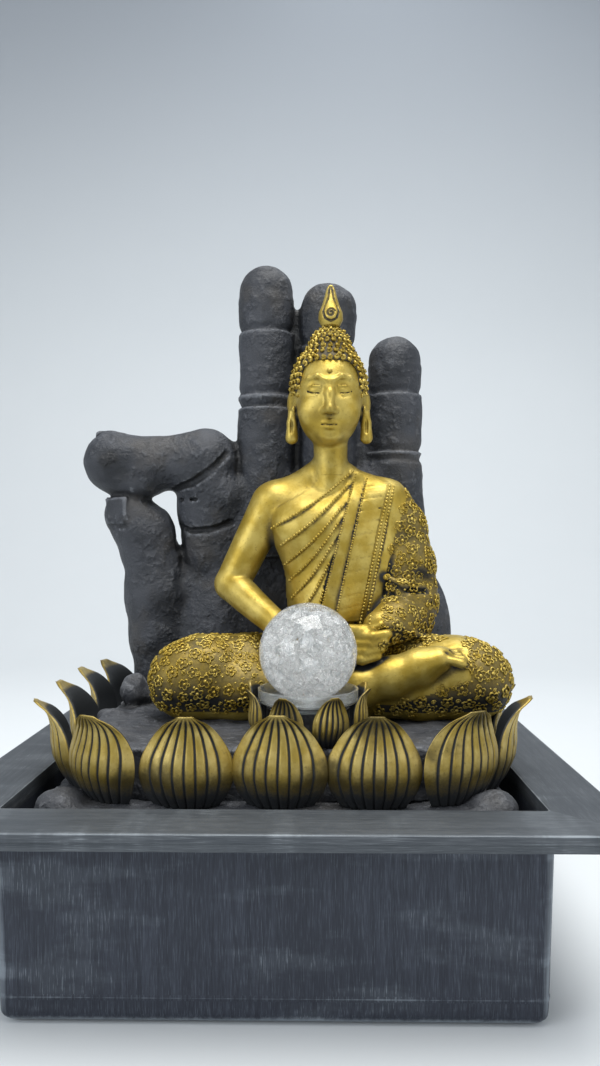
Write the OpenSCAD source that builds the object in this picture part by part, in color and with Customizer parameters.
// Tabletop water fountain: a square metal-look basin with a flat rim, a cast
// mound of rock with a ring of lotus petals, a large open hand, a seated figure
// in front of it, and a glass ball that turns on the water over a lit dish.
// Origin: centre of the footprint, on the table. +X right, -Y front, +Z up.

/* [Basin] */
// Outer width and depth of the flat rim
rim_w = 250; // [232:1:300]
// Thickness of the rim strip
rim_t = 6.2; // [4:0.1:9]
// Height of the rim's top face above the table
rim_top = 78; // [68:1:100]
// Width of the tub where it meets the rim
tub_w = 202; // [190:1:225]
// How much narrower each side of the tub is at the table
tub_draft = 2; // [0:0.5:3]
// Thickness of the tub's wall
tub_wall = 2.5; // [2:0.1:4]
// Thickness of the tub's floor
tub_floor = 3; // [2.5:0.1:5]
// Corner radius of the tub
tub_r = 4; // [3:0.5:8]
// Radius of a foot pad
pad_r = 9; // [6:0.5:14]
// Thickness of a foot pad
pad_t = 1.6; // [1.2:0.1:3]
// Bore of the cable grommet
cable_bore_r = 3.2; // [2:0.1:4]

/* [Mound and petals] */
// Free water channel between mound and tub
channel = 5; // [4.5:0.5:9]
// Corner radius of the mound
mound_r = 14; // [8:1:24]
// Wall thickness of the hollow mound
mound_wall = 6; // [4:0.5:8]
// Height of the ledge that the petals stand on, above the tub floor
mound_h = 70; // [60:1:90]
// Height of the deck above the ledge
deck_h = 21; // [16:1:26]
// Thickness of the deck's top
deck_t = 5; // [4:0.5:8]
// Number of outer petals
petal_count = 18; // [14:1:18]
// Height of an outer petal
petal_h = 34; // [28:1:38]
// Width of an outer petal
petal_w = 31; // [24:1:31]
// Wall thickness of a petal
petal_t = 3; // [2:0.5:4]

/* [Ball and light] */
// Radius of the glass ball
ball_r = 20; // [16:0.5:22]
// Film of water between ball and dish
film = 0.4; // [0.3:0.1:1]
// Height of the pedestal under the dish
pedestal_h = 12; // [11:0.5:16]
// Depth of the clear dish
dish_h = 7.4; // [6:0.1:9]
// Number of inner petals
inner_count = 8; // [6:1:8]
// Height of an inner petal
inner_h = 21; // [16:1:24]

/* [Pump] */
// Radius of the pump's shaft
shaft_r = 1.25; // [1:0.05:1.6]
// Running clearance of the impeller on its shaft
shaft_gap = 0.05; // [0.02:0.01:0.1]
// Radius of the rotor magnet
magnet_r = 7.6; // [6:0.1:8.5]
// Radius of the impeller's blades
blade_r = 12; // [10:0.5:13]
// Outer radius of the outlet pipe
outlet_r = 5; // [4:0.1:5.5]
// Wall of the water hose
hose_wall = 2; // [1.5:0.1:2.5]
// Travel of the flow gate
gate_travel = 4.5; // [4:0.1:5]

/* [Hand and figure] */
// How far the hand's mid-plane stands behind the centre
hand_y = 33; // [33:0.5:40]
// Height of the middle finger's tip above the deck
finger_h = 221; // [200:1:240]
// Radius of the fingers
finger_r = 14; // [12:0.1:14.2]
// Sideways place of the seated figure
figure_x = 22; // [18:0.5:24]
// Radius of the neck
neck_r = 8; // [6:0.5:10]
// Height of the flame above the head
flame_h = 17.5; // [12:0.5:24]

/* [Hidden] */
petal_names = [for (i = [1:petal_count]) str("outer_petal_", i)];
$fn = 64;
eps = 0.01;         // smallest overlap that makes a cut go right through

// Heights, from the table up
tub_z = pad_t - 0.6;                    // underside of the tub
floor_z = tub_z + tub_floor;            // top of the tub's floor
tub_top = rim_top - rim_t;              // seat of the rim
mound_z = floor_z + 0.1;                // underside of the mound
ledge_z = floor_z + mound_h;            // ledge for the petals
deck_z = ledge_z + deck_h;              // top of the deck
dish_z = deck_z + pedestal_h;           // underside of the dish
dish_floor = dish_z + 1.6;              // water film's lower face
ball_z = dish_floor + film + ball_r;    // centre of the ball

// Plan sizes
opening_w = tub_w - 2 * tub_wall;
tub_inner_low = opening_w - 2 * tub_draft;
mound_w = tub_inner_low - 2 * channel;
ring_x = 2;                             // the petals' ring sits a little right
ring_a = mound_w / 2 - 1.5;             // half width of the ring of petals
ring_b = mound_w / 2 - 4.5;             // half depth of that ring
ring_r = 45;                            // its corner radius
deck_gap = 7;                           // from the ring in to the deck's edge
deck_w = 2 * (ring_a - deck_gap);
deck_d = 2 * (ring_b - deck_gap);
deck_r = ring_r - deck_gap;
ball_x = 12.4;

// Light, nozzle and hose
led_z = deck_z + 4.5;
led_h = 4.5;
lens_h = 2.4;
jet_r = 3;                              // outer radius of the nozzle's jet
jet_gap = 0.2;
hose_gap = 0.1;
hose_r = outlet_r + hose_gap + hose_wall;
lead_r = 1.5;
lead_off = hose_r + lead_r + 1.9;       // lead's distance from the ball's axis
deck_hole_r = hose_r + 2;
pedestal_r = max(ball_r - 3, lead_off + lead_r + 5);    // it holds the light and its lead
led_r = pedestal_r - 3.5;
ball_y = -ring_b + pedestal_r + 11;

// Pump
pump_x = ball_x;
pump_y = ball_y;                        // the outlet stands under the ball
pump_z = floor_z + 4;                   // underside of the pump
pump_w = 44;
pump_h = 34;
axis_z = pump_z + 16;
chamber_w = 38;
chamber_h = 32;
chamber_front = pump_y - 8;
chamber_back = pump_y + 8;
chamber_wall = 3;
housing_l = 38;
housing_back = chamber_back + housing_l;
well_gap = 0.6;
well_end = housing_back - 10;
cover_t = 4;
cover_front = chamber_front - cover_t;
gate_t = 1.8;
gate_gap = 0.3;
gate_w = 20;
gate_h = 20;
rail_h = 2.4;
slot_w = gate_travel - 1.9;             // the gate's travel shuts a slot
slot_h = 13;
slot_pitch = 5.4;
bush_r = 3.5;
bush_l = 4;
outlet_top = pump_z + pump_h + 14;
plug_y = housing_back - 16;
plug_r = 4;
plug_l = 12;
pin_r = 2.4;

// Grommet
grommet_z = tub_top - 13;
grommet_r = cable_bore_r + 1.8;
grommet_flange_r = grommet_r + 3;
grommet_flange_t = 1.4;
boss_r = grommet_flange_r + 1.5;
boss_t = 4;
boss_y = tub_w / 2 - tub_wall - 1.2;    // inner face of the boss

// Colours
c_metal = [0.30, 0.34, 0.40];
c_rim = [0.45, 0.48, 0.52];
c_rubber = [0.08, 0.08, 0.09];
c_stone = [0.36, 0.37, 0.39];
c_slate = [0.26, 0.27, 0.30];
c_gold = [0.72, 0.62, 0.26];
c_old_gold = [0.62, 0.56, 0.30];
c_glass = [0.85, 0.88, 0.90, 0.5];
c_clear = [0.88, 0.92, 0.95, 0.4];
c_pump = [0.12, 0.13, 0.15];
c_copper = [0.70, 0.40, 0.22];
c_steel = [0.75, 0.76, 0.78];
c_white = [0.92, 0.92, 0.90];

// ---------- shared shapes ----------

// A rectangle with true round corners.
module round_rect(w, d, r) {
    square([w - 2 * r, d], center = true);
    square([w, d - 2 * r], center = true);
    for (sx = [-1, 1], sy = [-1, 1])
        translate([sx * (w / 2 - r), sy * (d / 2 - r)]) circle(r);
}

module round_block(w, d, h, r) {
    linear_extrude(h) round_rect(w, d, r);
}

// A ring or a tube.
module tube(ro, ri, h) {
    difference() {
        cylinder(r = ro, h = h);
        translate([0, 0, -1]) cylinder(r = ri, h = h + 2);
    }
}

// A cylinder that lies along Y, from y0 to y1.
module y_rod(r, y0, y1) {
    translate([0, y0, 0]) rotate([-90, 0, 0]) cylinder(r = r, h = y1 - y0);
}

// A smooth lump through balls given as [x, y, z, r].
module lump(balls) {
    hull() for (b = balls) translate([b[0], b[1], b[2]]) sphere(r = b[3], $fn = 20);
}

// Everything under the deck, taken off what stands on it.
module below_deck() {
    translate([-200, -200, deck_z - 100]) cube([400, 400, 100]);
}

// ---------- basin ----------

// The tub's form: a box with draft and a rounded foot.
module tub_form(w_low, w_high, z0, z1, r) {
    hull() {
        translate([0, 0, z0]) linear_extrude(eps) square(w_low - 2 * r, center = true);
        for (sx = [-1, 1], sy = [-1, 1])
            translate([sx * (w_low / 2 - r), sy * (w_low / 2 - r), z0 + r])
                sphere(r = r, $fn = 32);
        translate([0, 0, z1 - eps]) linear_extrude(eps)
            round_rect(w_high, w_high, r, $fn = 32);
    }
}

module at_pads() {
    reach = tub_w / 2 - tub_draft - tub_r - pad_r - 4;
    for (sx = [-1, 1], sy = [-1, 1]) translate([sx * reach, sy * reach, 0]) children();
}

module basin_tub() {
    color(c_metal) difference() {
        union() {
            difference() {
                tub_form(tub_w - 2 * tub_draft, tub_w, tub_z, tub_top, tub_r);
                tub_form(tub_inner_low, opening_w, floor_z, tub_top + eps, tub_r - 1);
            }
            translate([0, 0, grommet_z]) y_rod(boss_r, boss_y, boss_y + boss_t);
        }
        translate([0, 0, grommet_z]) y_rod(grommet_r, boss_y - 5, boss_y + boss_t + 5);
        at_pads() cylinder(r = pad_r, h = pad_t);
    }
}

// Two layers make the fine step along the rim's edge.
module basin_rim() {
    step = 0.5;
    color(c_rim) difference() {
        union() {
            translate([0, 0, rim_top - rim_t / 2]) round_block(rim_w, rim_w, rim_t / 2, 1.5);
            translate([0, 0, tub_top])
                round_block(rim_w - 2 * step, rim_w - 2 * step, rim_t / 2 + eps, 1.5);
        }
        translate([0, 0, tub_top - 1]) round_block(opening_w, opening_w, rim_t + 2, tub_r);
    }
}

module foot_pads() {
    color(c_rubber) at_pads() cylinder(r = pad_r, h = pad_t);
}

module cable_grommet() {
    color(c_rubber) translate([0, 0, grommet_z]) difference() {
        union() {
            y_rod(grommet_r, boss_y, boss_y + boss_t);
            y_rod(grommet_flange_r, boss_y - grommet_flange_t, boss_y);
            y_rod(grommet_flange_r, boss_y + boss_t, boss_y + boss_t + grommet_flange_t);
        }
        y_rod(cable_bore_r, boss_y - 5, boss_y + boss_t + 5);
    }
}

// ---------- mound ----------

arch_w = 22;
arch_h = 12;
knob_r = 6;                             // round rocks on the mound's corners
hatch_r = 52;                           // hole in the mound under the deck

module rock_mound() {
    h = ledge_z - mound_z;
    knob = mound_w / 2 - knob_r - 2;
    color(c_stone) translate([0, 0, mound_z]) difference() {
        union() {
            round_block(mound_w, mound_w, h, mound_r);
            for (sx = [-1, 1], sy = [-1, 1])
                translate([sx * knob, sy * knob, h + 1]) sphere(r = knob_r);
        }
        translate([0, 0, -1])
            round_block(mound_w - 2 * mound_wall, mound_w - 2 * mound_wall,
                h - mound_wall + 1, mound_r - mound_wall + 2);
        translate([ring_x, 0, 0]) cylinder(r = hatch_r, h = h + 5);
        at_ball(0) cylinder(r = deck_hole_r + 4, h = h + 5);
        for (q = [0, 90]) rotate([0, 0, q]) translate([-arch_w / 2, -mound_w, -1])
            cube([arch_w, 2 * mound_w, arch_h + 1]);
    }
}

module deck_outline(inset) {
    translate([ring_x, 0]) round_rect(deck_w - 2 * inset, deck_d - 2 * inset, deck_r - inset);
}

// The deck is a hollow slab, with a lump of rock that rises beside the thumb.
module stone_deck() {
    color(c_stone) difference() {
        union() {
            translate([0, 0, ledge_z]) linear_extrude(deck_h) deck_outline(0);
            lump([[-70, 10, deck_z + 1, 7], [-72, 2, deck_z + 4, 5], [-72, 8, deck_z + 9, 4.5]]);
        }
        translate([0, 0, ledge_z - 1])
            linear_extrude(deck_h - deck_t + 1) deck_outline(mound_wall);
        at_ball(ledge_z) cylinder(r = deck_hole_r, h = deck_h + 1);
        at_ball(ledge_z) translate([lead_off, 0, 0]) cylinder(r = lead_r + 0.5, h = deck_h + 1);
    }
}

// ---------- petals ----------

// Half outline of a petal, seen from the front: [height, half width] shares.
petal_edge = [[0, 0.62], [0.12, 0.80], [0.3, 0.98], [0.42, 1.0], [0.6, 0.88],
    [0.76, 0.62], [0.88, 0.36], [0.96, 0.16], [1, 0.06]];
// How far the wall stands out from the foot at each height: [height, out] shares.
petal_bow = [[0, 0], [0.15, 0.55], [0.35, 1], [0.52, 0.88], [0.72, 0.5], [0.86, 0.52], [1, 0.9]];

// A petal with its foot at the origin, facing -Y: a bowed wall, turned about
// an axis behind it, trimmed to the petal's outline.
module petal(w, h, t, out, turn_r) {
    outer = [for (p = petal_bow) [turn_r + out * p[1], h * p[0]]];
    inner = [for (i = [len(petal_bow) - 1:-1:0])
        [turn_r + out * petal_bow[i][1] - t, h * petal_bow[i][0]]];
    trim = concat([for (p = petal_edge) [w / 2 * p[1], h * p[0]]],
        [for (i = [len(petal_edge) - 1:-1:0]) [-w / 2 * petal_edge[i][1], h * petal_edge[i][0]]]);
    translate([0, turn_r, 0]) intersection() {
        rotate([0, 0, 180]) rotate_extrude(angle = 180) polygon(concat(outer, inner));
        rotate([90, 0, 0]) linear_extrude(turn_r + out + 5) polygon(trim);
    }
}

petal_out = 6.5;
petal_turn = 19;

// The ring is a round-cornered rectangle, walked from the front's middle to the
// right. One quarter of it is two straights with an arc between them.
arc_len = ring_r * PI / 2;
quarter = ring_a - ring_r + arc_len + ring_b - ring_r;
// Place and facing [x, y, angle] at a distance along the first quarter.
function quarter_at(u) =
    u < ring_a - ring_r ? [u, -ring_b, 0] :
    u < ring_a - ring_r + arc_len ?
        let (w = (u - ring_a + ring_r) / arc_len * 90)
        [ring_a - ring_r + ring_r * sin(w), ring_r - ring_b - ring_r * cos(w), w] :
    [ring_a, u - quarter, 90];
// The same anywhere on the ring: the other quarters are mirror images.
function ring_at(s) = let (q = floor(s / quarter), u = s - q * quarter)
    q == 0 ? quarter_at(u) :
    q == 1 ? let (p = quarter_at(quarter - u)) [p[0], -p[1], 180 - p[2]] :
    q == 2 ? let (p = quarter_at(u)) [-p[0], -p[1], 180 + p[2]] :
    let (p = quarter_at(quarter - u)) [-p[0], p[1], -p[2]];

module outer_petal(i) {
    place = ring_at(4 * quarter / petal_count * (i - 1));
    color(c_old_gold) translate([ring_x + place[0], place[1], ledge_z])
        rotate([0, 0, place[2]]) petal(petal_w, petal_h, petal_t, petal_out, petal_turn);
}

inner_foot = ball_r + 1.6;              // the inner petals' ring
inner_gap = 2.965;                      // between the feet of two inner petals
inner_w = 2 * PI * inner_foot / inner_count - inner_gap;

module inner_petals() {
    color(c_old_gold) difference() {
        for (i = [0:inner_count - 1])
            translate([ball_x, ball_y, deck_z]) rotate([0, 0, 360 / inner_count * (i + 0.5)])
                translate([0, -inner_foot, 0]) petal(inner_w, inner_h, 1.8, 3.2, 9);
        translate([ball_x, ball_y, deck_z - 1]) cylinder(r = pedestal_r, h = 40);
    }
}

// ---------- ball, dish and light ----------

module at_ball(z) {
    translate([ball_x, ball_y, z]) children();
}

module lotus_pedestal() {
    color(c_stone) at_ball(deck_z) difference() {
        cylinder(r = pedestal_r, h = pedestal_h);
        translate([0, 0, 3]) cylinder(r = led_r + 1, h = pedestal_h);
        translate([0, 0, -1]) cylinder(r = outlet_r + hose_gap, h = 6);
        translate([lead_off, 0, -1]) cylinder(r = lead_r + 0.5, h = 6);
    }
}

module clear_dish() {
    ro = ball_r + 0.4;
    h = dish_h;
    color(c_clear) at_ball(dish_z) rotate_extrude() polygon([
        [jet_r + jet_gap, 0], [pedestal_r - 1, 0], [ro, 2.6], [ro, h], [ro - 1, h],
        [ro - 1, 3.2], [pedestal_r - 4, 1.6], [jet_r + jet_gap, 1.6]]);
}

module glass_ball() {
    color(c_glass) at_ball(ball_z) sphere(r = ball_r);
}

module led_ring() {
    color(c_white) at_ball(led_z) tube(led_r, jet_r + 1, led_h);
}

module led_lens() {
    color(c_clear) at_ball(led_z + led_h) tube(led_r, jet_r + 1, lens_h);
}

// A barb below, a flange that sits in the pedestal, and the jet.
module water_nozzle() {
    flange_t = 1.5;
    color(c_white) at_ball(0) difference() {
        union() {
            translate([0, 0, deck_z - 12]) cylinder(r = outlet_r, h = 15 + eps);
            translate([0, 0, deck_z + 3]) cylinder(r = outlet_r + 2, h = flange_t);
            translate([0, 0, deck_z + 3]) cylinder(r = jet_r, h = pedestal_h - 2);
        }
        translate([0, 0, deck_z - 20]) cylinder(r = jet_r - 1, h = 60);
    }
}

// Pushed over the nozzle's barb above and the pump's outlet below.
module water_hose() {
    z0 = outlet_top - 12;
    color(c_clear) at_ball(z0) tube(hose_r, outlet_r + hose_gap, deck_z - 1 - z0);
}

// The lead's route, from the light down to its plug.
lead_x = ball_x + lead_off;
lead_route = [[lead_x, ball_y, led_z], [lead_x, ball_y, led_z - 12],
    [lead_x, ball_y + 0.4, led_z - 24], [lead_x, ball_y + 4, led_z - 32],
    [lead_x, (ball_y + plug_y) / 2, led_z - 36], [lead_x, plug_y - 4, led_z - 34],
    [lead_x, plug_y - 0.8, led_z - 38], [lead_x, plug_y, led_z - 42],
    [lead_x, plug_y, pump_z + pump_h + 2 + plug_l]];

// A tube of eight sides along points that stay in one Y-Z plane.
function aim(p, i) = let (a = p[max(i - 1, 0)], b = p[min(i + 1, len(p) - 1)])
    atan2(b[2] - a[2], b[1] - a[1]);
module swept_tube(p, r) {
    sides = 8;
    rings = [for (i = [0:len(p) - 1]) for (k = [0:sides - 1])
        let (w = 360 * k / sides, s = aim(p, i) + 90)
        [p[i][0] + r * cos(w), p[i][1] + r * sin(w) * cos(s), p[i][2] + r * sin(w) * sin(s)]];
    last = (len(p) - 1) * sides;
    faces = concat([[for (k = [0:sides - 1]) k]],
        [for (i = [0:len(p) - 2], k = [0:sides - 1]) let (n = (k + 1) % sides)
            [i * sides + k, (i + 1) * sides + k, (i + 1) * sides + n, i * sides + n]],
        [[for (k = [sides - 1:-1:0]) last + k]]);
    polyhedron(points = rings, faces = faces);
}

module led_lead() {
    color(c_rubber) swept_tube(lead_route, lead_r);
}

module led_plug() {
    color(c_rubber) translate([lead_x, plug_y, pump_z + pump_h + 2]) difference() {
        cylinder(r = plug_r, h = plug_l);
        translate([0, 0, -1]) cylinder(r = pin_r + 0.15, h = 8);
    }
}

// ---------- pump ----------

module pump_box(w, h, y0, y1) {
    translate([pump_x - w / 2, y0, pump_z]) cube([w, y1 - y0, h]);
}

module pump_housing() {
    color(c_pump) difference() {
        union() {
            pump_box(pump_w, pump_h, chamber_back, housing_back);
            translate([lead_x, plug_y, pump_z + pump_h - 1]) cylinder(r = plug_r, h = 3);
            translate([lead_x, plug_y, pump_z + pump_h]) cylinder(r = pin_r, h = 8);
        }
        translate([pump_x, 0, axis_z]) y_rod(magnet_r + well_gap, chamber_back - 1, well_end);
        translate([pump_x, 0, axis_z]) y_rod(bush_r, well_end - 1, well_end + bush_l);
        coil_blocks();
    }
}

module coil_blocks() {
    for (s = [-1, 1]) translate([pump_x + s * 15 - 4, chamber_back + 5, axis_z - 10])
        cube([8, housing_l - 18, 20]);
}

module stator_coils() {
    color(c_copper) coil_blocks();
}

module pump_chamber() {
    color(c_pump) difference() {
        union() {
            pump_box(chamber_w, chamber_h, chamber_front, chamber_back);
            at_ball(pump_z + chamber_h - 1) cylinder(r = outlet_r, h = outlet_top - pump_z - chamber_h + 1);
        }
        translate([pump_x, 0, axis_z])
            y_rod(blade_r + 1.5, chamber_front - 1, chamber_back - chamber_wall);
        translate([pump_x, 0, axis_z]) y_rod(magnet_r + well_gap, chamber_front, chamber_back + 1);
        at_ball(axis_z) cylinder(r = outlet_r - 1.4, h = 60);
    }
}

module impeller() {
    blades = 5;
    disc_back = chamber_back - chamber_wall - 0.8;
    color(c_white) translate([pump_x, 0, axis_z]) difference() {
        union() {
            y_rod(magnet_r, disc_back - 1, well_end - 1);
            y_rod(4, chamber_front + 2.5, disc_back - 0.5);
            y_rod(blade_r, disc_back - 1.6, disc_back);
            for (k = [1:blades]) rotate([0, 360 / blades * k + 10, 0])
                translate([1, chamber_front + 3.5, -0.8])
                    cube([blade_r - 2, disc_back - chamber_front - 4, 1.6]);
        }
        y_rod(shaft_r + shaft_gap, chamber_front - 1, well_end + 1);
    }
}

module impeller_shaft() {
    color(c_steel) translate([pump_x, 0, axis_z]) y_rod(shaft_r, chamber_front - 2, well_end + bush_l - 0.5);
}

module rear_bush() {
    color(c_rubber) translate([pump_x, 0, axis_z]) difference() {
        y_rod(bush_r, well_end, well_end + bush_l);
        y_rod(shaft_r, well_end - 1, well_end + bush_l - 0.5);
    }
}

module front_bush() {
    color(c_rubber) translate([pump_x, 0, axis_z]) difference() {
        y_rod(bush_r, chamber_front - 3, chamber_front + 1.5);
        y_rod(shaft_r + shaft_gap, chamber_front - 2 - eps, chamber_front + 3);
    }
}

module intake_slots(y0, y1) {
    for (k = [-1, 1]) translate([pump_x + k * (slot_pitch + 1) - slot_w / 2, y0, axis_z - slot_h / 2])
        cube([slot_w, y1 - y0, slot_h]);
}

module intake_cover() {
    rail_d = gate_t + 2 * gate_gap;
    color(c_pump) difference() {
        union() {
            pump_box(chamber_w, chamber_h, cover_front, chamber_front);
            for (s = [-1, 1]) translate([pump_x - chamber_w / 2, cover_front - rail_d - 1.2,
                axis_z + s * (gate_h / 2 + gate_gap + rail_h / 2) - rail_h / 2])
                cube([chamber_w, rail_d + 1.2 + eps, rail_h]);
            for (s = [-1, 1]) translate([pump_x - chamber_w / 2, cover_front - rail_d - 1.2,
                axis_z + s * (gate_h / 2 + gate_gap + rail_h / 2 - 1) - rail_h / 2])
                cube([chamber_w, 1.2, rail_h]);
        }
        intake_slots(cover_front - 1, chamber_front + 1);
        translate([pump_x, 0, axis_z]) y_rod(bush_r, chamber_front - 3, chamber_front + 5);
    }
}

module flow_gate() {
    y0 = cover_front - gate_gap - gate_t;
    color(c_white) difference() {
        union() {
            translate([pump_x - gate_w / 2, y0, axis_z - gate_h / 2]) cube([gate_w, gate_t, gate_h]);
            translate([pump_x - 1, y0 - 2.6, axis_z - 5]) cube([2, 3, 10]);
        }
        intake_slots(y0 - 1, y0 + gate_t + 1);
    }
}

// Rubber suckers hold the pump on the tub's floor.
module suction_cups() {
    color(c_rubber) for (sx = [-1, 1], y = [chamber_back + 8, housing_back - 8])
        translate([pump_x + sx * 14, y, floor_z]) difference() {
            cylinder(r1 = 6.5, r2 = 4, h = pump_z - floor_z);
            translate([0, 0, -eps]) cylinder(r1 = 5, r2 = 2.6, h = 2.2);
        }
}

// ---------- hand ----------

ring_finger_x = 22.5;
middle_x = -10;
little_x = 57;
finger_foot = 102;                      // where the fingers leave the palm
ring_drop = 9;                          // how much lower than the middle finger
little_drop = 37;
web_middle_drop = 32;                   // webs between the fingers, below their tips
web_little_drop = 66;
knuckle = [-40, deck_z + 121];

module finger_form(x, top) {
    translate([x, hand_y, deck_z + finger_foot]) cylinder(r = finger_r, h = top - finger_foot - finger_r);
    translate([x, hand_y, deck_z + top - finger_r]) sphere(r = finger_r);
}

module index_form() {
    lump([[knuckle[0], hand_y, knuckle[1] - 20, 15.8], [knuckle[0], hand_y, knuckle[1], 15.8]]);
    lump([[knuckle[0], hand_y, knuckle[1], 15.8], [-64, hand_y - 1, knuckle[1] + 1, 14.2],
        [-88, hand_y - 3, knuckle[1] + 1, 14.5]]);
}

module thumb_form() {
    lump([[-60, hand_y, deck_z + 4, 15], [-65, hand_y - 2, deck_z + 45, 14],
        [-66, hand_y - 3, deck_z + 65, 15]]);
    lump([[-66, hand_y - 3, deck_z + 66, 14.6], [-72, hand_y - 4, deck_z + 82, 12.5],
        [-82, hand_y - 5, deck_z + 93, 12]]);
}

module palm_form() {
    lump([[-38, hand_y, deck_z + 12, 13], [70, hand_y, deck_z + 12, 13],
        [75, hand_y, deck_z + 26, 13], [60, hand_y, deck_z + 88, 12], [57, hand_y, deck_z + 106, 12],
        [-38, hand_y, deck_z + 96, 13], [20, hand_y + 4, deck_z + 50, 14]]);
    translate([middle_x, hand_y - 5, deck_z + 90])
        cube([ring_finger_x - middle_x, 10, finger_h - web_middle_drop - 90]);
    translate([ring_finger_x, hand_y - 5, deck_z + 90])
        cube([little_x - ring_finger_x, 10, finger_h - web_little_drop - 90]);
}

module hand_palm() {
    color(c_slate) difference() {
        palm_form();
        below_deck();
        fingers();
        index_form();
        thumb_form();
    }
}

module fingers() {
    finger_form(middle_x, finger_h);
    finger_form(ring_finger_x, finger_h - ring_drop);
    finger_form(little_x, finger_h - little_drop);
}

module middle_finger() {
    color(c_slate) finger_form(middle_x, finger_h);
}

module ring_finger() {
    color(c_slate) finger_form(ring_finger_x, finger_h - ring_drop);
}

module little_finger() {
    color(c_slate) finger_form(little_x, finger_h - little_drop);
}

module index_finger() {
    color(c_slate) difference() {
        index_form();
        finger_form(middle_x, finger_h);
    }
}

module thumb() {
    color(c_slate) difference() {
        thumb_form();
        below_deck();
    }
}

// ---------- figure ----------
// Places are measured from the middle of the seat, at deck height.

module at_seat() {
    translate([figure_x, 0, deck_z]) children();
}

module torso_form() {
    lump([[-14, 0, 14, 15], [14, 0, 14, 15], [-5, -2, 48, 14], [9, -2, 48, 14]]);
    lump([[-5, -2, 48, 14], [9, -2, 48, 14], [-12, -5, 84, 14], [13, -5, 84, 14],
        [-24, -1, 98, 9], [24, -1, 98, 9], [0, -2, 104, 8]]);
}

module right_arm_form() {
    lump([[-29, -1, 98, 9.5], [-45, -1, 62, 8.5]]);
    lump([[-45, -1, 61, 8], [-27, -27, 41, 6.5]]);
}

module left_arm_form() {
    lump([[29, -1, 98, 10], [38, 0, 78, 11], [38, -4, 56, 11.5]]);
    lump([[38, -4, 56, 11.5], [16, -30, 41, 8], [30, -18, 44, 9]]);
}

module lap_hand_form() {
    lump([[-12, -29, 36.5, 5], [19, -37, 36, 4.6]]);
}

knee_x = 64.5;                          // a knee's distance from the middle

module leg_form(s) {
    lump([[s * 14, 0, 17, 15], [s * knee_x, -24, 18, 17]]);
    lump([[s * knee_x, -25, 16, 15], [s * 16, -19, 13, 12]]);
}

// The space that the petals take above the deck: the knees hang over it.
module petal_zone() {
    inset = 4.2;
    translate([ring_x, 0, deck_z - 1]) linear_extrude(petal_h - deck_h + 2) difference() {
        square(2 * mound_w, center = true);
        round_rect(2 * (ring_a - inset), 2 * (ring_b - inset), ring_r - inset);
    }
}

module hair_form() {
    lump([[0, -4, 150, 18.4], [0, -4, 163, 11]]);
    hair_knot();
}

// The round bump on top of the head.
module hair_knot() {
    translate([0, -4, 173.5]) sphere(r = 8.5);
}

module head_form() {
    lump([[0, -9, 136.5, 13.5], [0, -8, 150, 15]]);
    translate([0, -5, 108]) cylinder(r = neck_r, h = 22);
}

// A broad band from the left shoulder down to the lap.
module sash_form() {
    lump([[25, -14, 103, 3], [12, -18, 96, 3], [27, -20, 84, 3], [8, -20, 84, 3],
        [6, -17, 46, 3], [20, -17, 46, 3]]);
}

module torso() {
    color(c_gold) at_seat() difference() {
        union() {
            torso_form();
            sash_form();
        }
        translate([-100, -100, -50]) cube([200, 200, 50]);
    }
}

module head() {
    color(c_gold) at_seat() difference() {
        head_form();
        torso_form();
        sash_form();
    }
}

module hair_cap() {
    color(c_old_gold) at_seat() difference() {
        hair_form();
        head_form();
        translate([-30, -60, 110]) cube([60, 49, 41]);
    }
}

module flame_finial() {
    base = 181;
    color(c_gold) at_seat() difference() {
        translate([0.9, -4, base]) rotate_extrude() polygon([[0, 0], [3.4, 0.6],
            [5.3, flame_h * 0.3], [4.4, flame_h * 0.55], [1.6, flame_h * 0.8], [0, flame_h]]);
        hair_knot();
    }
}

module right_arm() {
    color(c_gold) at_seat() difference() {
        right_arm_form();
        torso_form();
    }
}

module left_arm() {
    color(c_gold) at_seat() difference() {
        left_arm_form();
        torso_form();
        sash_form();
    }
}

module lap_hand() {
    color(c_gold) at_seat() difference() {
        lap_hand_form();
        right_arm_form();
        left_arm_form();
        torso_form();
    }
}

module one_leg(s) {
    color(c_gold) difference() {
        at_seat() difference() {
            leg_form(s);
            torso_form();
            translate([-150, -150, -50]) cube([300, 300, 50]);
            if (s > 0) leg_form(-1);
        }
        petal_zone();
    }
}

module right_leg() {
    one_leg(-1);
}

module left_leg() {
    one_leg(1);
}

module upturned_foot() {
    color(c_gold) at_seat() difference() {
        lump([[18, -34, 26, 5.5], [34, -40, 27, 7], [45, -42, 31, 5]]);
        leg_form(1);
        lap_hand_form();
    }
}

// ---------- drawing ----------

basin_tub();
basin_rim();
foot_pads();
cable_grommet();
rock_mound();
stone_deck();
for (i = [1:petal_count]) outer_petal(i);
lotus_pedestal();
inner_petals();
clear_dish();
glass_ball();
led_ring();
led_lens();
led_lead();
led_plug();
water_nozzle();
water_hose();
pump_housing();
pump_chamber();
stator_coils();
suction_cups();
impeller();
impeller_shaft();
rear_bush();
front_bush();
intake_cover();
flow_gate();
hand_palm();
middle_finger();
ring_finger();
little_finger();
index_finger();
thumb();
torso();
head();
hair_cap();
flame_finial();
right_arm();
left_arm();
lap_hand();
right_leg();
left_leg();
upturned_foot();
